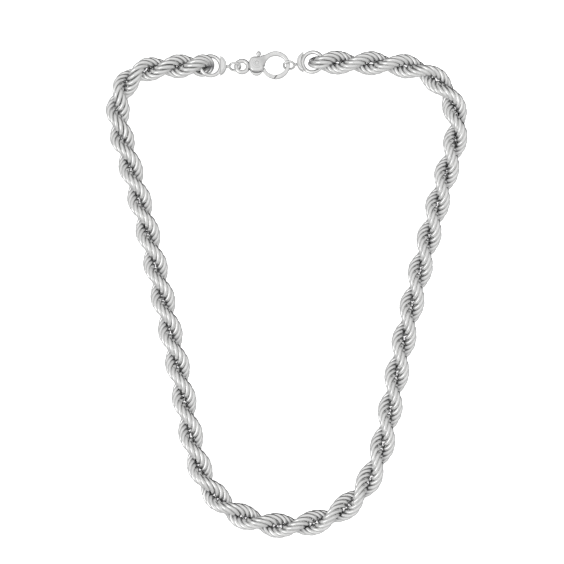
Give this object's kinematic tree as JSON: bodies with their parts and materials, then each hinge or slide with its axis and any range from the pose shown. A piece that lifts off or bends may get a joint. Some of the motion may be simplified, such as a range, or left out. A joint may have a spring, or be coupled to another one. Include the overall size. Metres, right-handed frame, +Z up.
{
  "type": "chain necklace",
  "caption": "Twisted rope chain necklace in polished silver-coloured metal, closed with a sprung lobster clasp and lying flat as a loop.",
  "frame": {"origin": "centre of the bounding box, on the surface the necklace lies on", "axes": "+Z up off the surface, +Y from the bottom of the loop towards the clasp, +X to the right of the clasp, towards the end that the clasp hooks on to"},
  "size_m": [0.1222, 0.1646, 0.0081],
  "materials": {
    "polished_silver": "bright polished silver wire",
    "cast_silver": "cast silver, tumbled and polished",
    "spring_steel": "hard-drawn spring wire"
  },
  "bodies": {
    "bottom": {"rope_bottom": "polished_silver"},
    "right_01": {"rope_right_01": "polished_silver"},
    "left_01": {"rope_left_01": "polished_silver"},
    "right_02": {"rope_right_02": "polished_silver"},
    "left_02": {"rope_left_02": "polished_silver"},
    "right_03": {"rope_right_03": "polished_silver"},
    "left_03": {"rope_left_03": "polished_silver"},
    "right_04": {"rope_right_04": "polished_silver"},
    "left_04": {"rope_left_04": "polished_silver"},
    "right_05": {"rope_right_05": "polished_silver"},
    "left_05": {"rope_left_05": "polished_silver"},
    "right_06": {"rope_right_06": "polished_silver"},
    "left_06": {"rope_left_06": "polished_silver"},
    "right_07": {"rope_right_07": "polished_silver"},
    "left_07": {"rope_left_07": "polished_silver"},
    "right_08": {"rope_right_08": "polished_silver"},
    "left_08": {"rope_left_08": "polished_silver"},
    "right_09": {"rope_right_09": "polished_silver"},
    "left_09": {"rope_left_09": "polished_silver"},
    "right_10": {"rope_right_10": "polished_silver"},
    "left_10": {"rope_left_10": "polished_silver"},
    "right_11": {"rope_right_11": "polished_silver"},
    "left_11": {"rope_left_11": "polished_silver"},
    "right_12": {"rope_right_12": "polished_silver"},
    "left_12": {"rope_left_12": "polished_silver"},
    "right_13": {"rope_right_13": "polished_silver"},
    "left_13": {"rope_left_13": "polished_silver"},
    "right_14": {"rope_right_14": "polished_silver"},
    "left_14": {"rope_left_14": "polished_silver"},
    "right_15": {"rope_right_15": "polished_silver"},
    "left_15": {"rope_left_15": "polished_silver"},
    "right_16": {"rope_right_16": "polished_silver"},
    "left_16": {"rope_left_16": "polished_silver"},
    "right_17": {"rope_right_17": "polished_silver"},
    "left_17": {"rope_left_17": "polished_silver"},
    "right_18": {"rope_right_18": "polished_silver", "rope_right_19": "polished_silver", "right_end_band": "polished_silver", "catch_ring": "polished_silver"},
    "left_18": {"rope_left_18": "polished_silver", "left_end_band": "polished_silver", "left_end_ring": "polished_silver"},
    "clasp": {"clasp_body": "cast_silver", "clasp_pin": "cast_silver", "clasp_spring": "spring_steel"},
    "lever": {"clasp_lever": "cast_silver"}
  },
  "joints": [
    {"name": "drape_01_right", "type": "hinge", "parent": "bottom", "child": "right_01", "pos_m": [0.00295, -0.07831, 0.0041], "axis": [0.9954, -0.0956, 0], "range_deg": [-12, 12]},
    {"name": "drape_01_left", "type": "hinge", "parent": "bottom", "child": "left_01", "pos_m": [-0.00889, -0.07717, 0.0041], "axis": [0.9954, -0.0956, 0], "range_deg": [-12, 12]},
    {"name": "drape_02_right", "type": "hinge", "parent": "right_01", "child": "right_02", "pos_m": [0.01444, -0.07529, 0.0041], "axis": [0.9968, -0.0794, 0], "range_deg": [-12, 12]},
    {"name": "drape_02_left", "type": "hinge", "parent": "left_01", "child": "left_02", "pos_m": [-0.01905, -0.07262, 0.0041], "axis": [0.9968, -0.0794, 0], "range_deg": [-12, 12]},
    {"name": "drape_03_right", "type": "hinge", "parent": "right_02", "child": "right_03", "pos_m": [0.02385, -0.06805, 0.0041], "axis": [0.9972, -0.0743, 0], "range_deg": [-12, 12]},
    {"name": "drape_03_left", "type": "hinge", "parent": "left_02", "child": "left_03", "pos_m": [-0.02644, -0.0643, 0.0041], "axis": [0.9972, -0.0743, 0], "range_deg": [-12, 12]},
    {"name": "drape_04_right", "type": "hinge", "parent": "right_03", "child": "right_04", "pos_m": [0.02973, -0.05772, 0.0041], "axis": [0.9979, -0.0645, 0], "range_deg": [-12, 12]},
    {"name": "drape_04_left", "type": "hinge", "parent": "left_03", "child": "left_04", "pos_m": [-0.03034, -0.05384, 0.0041], "axis": [0.9979, -0.0645, 0], "range_deg": [-12, 12]},
    {"name": "drape_05_right", "type": "hinge", "parent": "right_04", "child": "right_05", "pos_m": [0.03298, -0.04623, 0.0041], "axis": [0.9983, -0.0585, 0], "range_deg": [-12, 12]},
    {"name": "drape_05_left", "type": "hinge", "parent": "left_04", "child": "left_05", "pos_m": [-0.03289, -0.04237, 0.0041], "axis": [0.9983, -0.0585, 0], "range_deg": [-12, 12]},
    {"name": "drape_06_right", "type": "hinge", "parent": "right_05", "child": "right_06", "pos_m": [0.03534, -0.03452, 0.0041], "axis": [0.9986, -0.0522, 0], "range_deg": [-12, 12]},
    {"name": "drape_06_left", "type": "hinge", "parent": "left_05", "child": "left_06", "pos_m": [-0.0351, -0.03083, 0.0041], "axis": [0.9986, -0.0522, 0], "range_deg": [-12, 12]},
    {"name": "drape_07_right", "type": "hinge", "parent": "right_06", "child": "right_07", "pos_m": [0.03772, -0.02281, 0.0041], "axis": [0.9991, -0.0413, 0], "range_deg": [-12, 12]},
    {"name": "drape_07_left", "type": "hinge", "parent": "left_06", "child": "left_07", "pos_m": [-0.03752, -0.0197, 0.0041], "axis": [0.9991, -0.0413, 0], "range_deg": [-12, 12]},
    {"name": "drape_08_right", "type": "hinge", "parent": "right_07", "child": "right_08", "pos_m": [0.04039, -0.01116, 0.0041], "axis": [0.9995, -0.032, 0], "range_deg": [-12, 12]},
    {"name": "drape_08_left", "type": "hinge", "parent": "left_07", "child": "left_08", "pos_m": [-0.04005, -0.00858, 0.0041], "axis": [0.9995, -0.032, 0], "range_deg": [-12, 12]},
    {"name": "drape_09_right", "type": "hinge", "parent": "right_08", "child": "right_09", "pos_m": [0.04316, 0.00046, 0.0041], "axis": [0.9997, -0.024, 0], "range_deg": [-12, 12]},
    {"name": "drape_09_left", "type": "hinge", "parent": "left_08", "child": "left_09", "pos_m": [-0.04262, 0.00253, 0.0041], "axis": [0.9997, -0.024, 0], "range_deg": [-12, 12]},
    {"name": "drape_10_right", "type": "hinge", "parent": "right_09", "child": "right_10", "pos_m": [0.04618, 0.01203, 0.0041], "axis": [0.9998, -0.0174, 0], "range_deg": [-12, 12]},
    {"name": "drape_10_left", "type": "hinge", "parent": "left_09", "child": "left_10", "pos_m": [-0.04525, 0.01362, 0.0041], "axis": [0.9998, -0.0174, 0], "range_deg": [-12, 12]},
    {"name": "drape_11_right", "type": "hinge", "parent": "right_10", "child": "right_11", "pos_m": [0.04922, 0.02307, 0.0041], "axis": [0.9999, -0.0167, 0], "range_deg": [-12, 12]},
    {"name": "drape_11_left", "type": "hinge", "parent": "left_10", "child": "left_11", "pos_m": [-0.04799, 0.02469, 0.0041], "axis": [0.9999, -0.0167, 0], "range_deg": [-12, 12]},
    {"name": "drape_12_right", "type": "hinge", "parent": "right_11", "child": "right_12", "pos_m": [0.0522, 0.03412, 0.0041], "axis": [0.9999, -0.0151, 0], "range_deg": [-12, 12]},
    {"name": "drape_12_left", "type": "hinge", "parent": "left_11", "child": "left_12", "pos_m": [-0.05102, 0.03568, 0.0041], "axis": [0.9999, -0.0151, 0], "range_deg": [-12, 12]},
    {"name": "drape_13_right", "type": "hinge", "parent": "right_12", "child": "right_13", "pos_m": [0.05548, 0.04509, 0.0041], "axis": [0.9999, -0.0142, 0], "range_deg": [-12, 12]},
    {"name": "drape_13_left", "type": "hinge", "parent": "left_12", "child": "left_13", "pos_m": [-0.05411, 0.04665, 0.0041], "axis": [0.9999, -0.0142, 0], "range_deg": [-12, 12]},
    {"name": "drape_14_right", "type": "hinge", "parent": "right_13", "child": "right_14", "pos_m": [0.05766, 0.05588, 0.0041], "axis": [1, -0.0041, 0], "range_deg": [-12, 12]},
    {"name": "drape_14_left", "type": "hinge", "parent": "left_13", "child": "left_14", "pos_m": [-0.05671, 0.05635, 0.0041], "axis": [1, -0.0041, 0], "range_deg": [-12, 12]},
    {"name": "drape_15_right", "type": "hinge", "parent": "right_14", "child": "right_15", "pos_m": [0.05499, 0.06648, 0.0041], "axis": [1, 0.0013, 0], "range_deg": [-12, 12]},
    {"name": "drape_15_left", "type": "hinge", "parent": "left_14", "child": "left_15", "pos_m": [-0.05658, 0.06633, 0.0041], "axis": [1, 0.0013, 0], "range_deg": [-12, 12]},
    {"name": "drape_16_right", "type": "hinge", "parent": "right_15", "child": "right_16", "pos_m": [0.04671, 0.07447, 0.0041], "axis": [1, 0.0042, 0], "range_deg": [-12, 12]},
    {"name": "drape_16_left", "type": "hinge", "parent": "left_15", "child": "left_16", "pos_m": [-0.05054, 0.07406, 0.0041], "axis": [1, 0.0042, 0], "range_deg": [-12, 12]},
    {"name": "drape_17_right", "type": "hinge", "parent": "right_16", "child": "right_17", "pos_m": [0.03546, 0.07711, 0.0041], "axis": [0.9999, 0.014, -0.0001], "range_deg": [-12, 12]},
    {"name": "drape_17_left", "type": "hinge", "parent": "left_16", "child": "left_17", "pos_m": [-0.04073, 0.07604, 0.00411], "axis": [0.9999, 0.014, -0.0001], "range_deg": [-12, 12]},
    {"name": "drape_18_right", "type": "hinge", "parent": "right_17", "child": "right_18", "pos_m": [0.02382, 0.07756, 0.0041], "axis": [0.9999, 0.0161, 0.0005], "range_deg": [-12, 12]},
    {"name": "drape_18_left", "type": "hinge", "parent": "left_17", "child": "left_18", "pos_m": [-0.03071, 0.07667, 0.00407], "axis": [0.9999, 0.0161, 0.0005], "range_deg": [-12, 12]},
    {"name": "clasp_swing", "type": "hinge", "parent": "left_18", "child": "clasp", "pos_m": [-0.01574, 0.07687, 0.00205], "axis": [0, 0, 1], "range_deg": [-3, 3]},
    {"name": "lever_press", "type": "hinge", "parent": "clasp", "child": "lever", "pos_m": [-0.01004, 0.07782, 0.00205], "axis": [0, 0, 1], "range_deg": [0, 22], "stiffness_Nm_per_rad": 0.01, "springref_deg": -17.19}
  ],
  "couplings": [
    {"joint": "drape_01_left", "follows": "drape_01_right", "ratio": 1},
    {"joint": "drape_02_left", "follows": "drape_02_right", "ratio": 1},
    {"joint": "drape_03_left", "follows": "drape_03_right", "ratio": 1},
    {"joint": "drape_04_left", "follows": "drape_04_right", "ratio": 1},
    {"joint": "drape_05_left", "follows": "drape_05_right", "ratio": 1},
    {"joint": "drape_06_left", "follows": "drape_06_right", "ratio": 1},
    {"joint": "drape_07_left", "follows": "drape_07_right", "ratio": 1},
    {"joint": "drape_08_left", "follows": "drape_08_right", "ratio": 1},
    {"joint": "drape_09_left", "follows": "drape_09_right", "ratio": 1},
    {"joint": "drape_10_left", "follows": "drape_10_right", "ratio": 1},
    {"joint": "drape_11_left", "follows": "drape_11_right", "ratio": 1},
    {"joint": "drape_12_left", "follows": "drape_12_right", "ratio": 1},
    {"joint": "drape_13_left", "follows": "drape_13_right", "ratio": 1},
    {"joint": "drape_14_left", "follows": "drape_14_right", "ratio": 1},
    {"joint": "drape_15_left", "follows": "drape_15_right", "ratio": 1},
    {"joint": "drape_16_left", "follows": "drape_16_right", "ratio": 1},
    {"joint": "drape_17_left", "follows": "drape_17_right", "ratio": 1},
    {"joint": "drape_18_left", "follows": "drape_18_right", "ratio": 1}
  ]
}
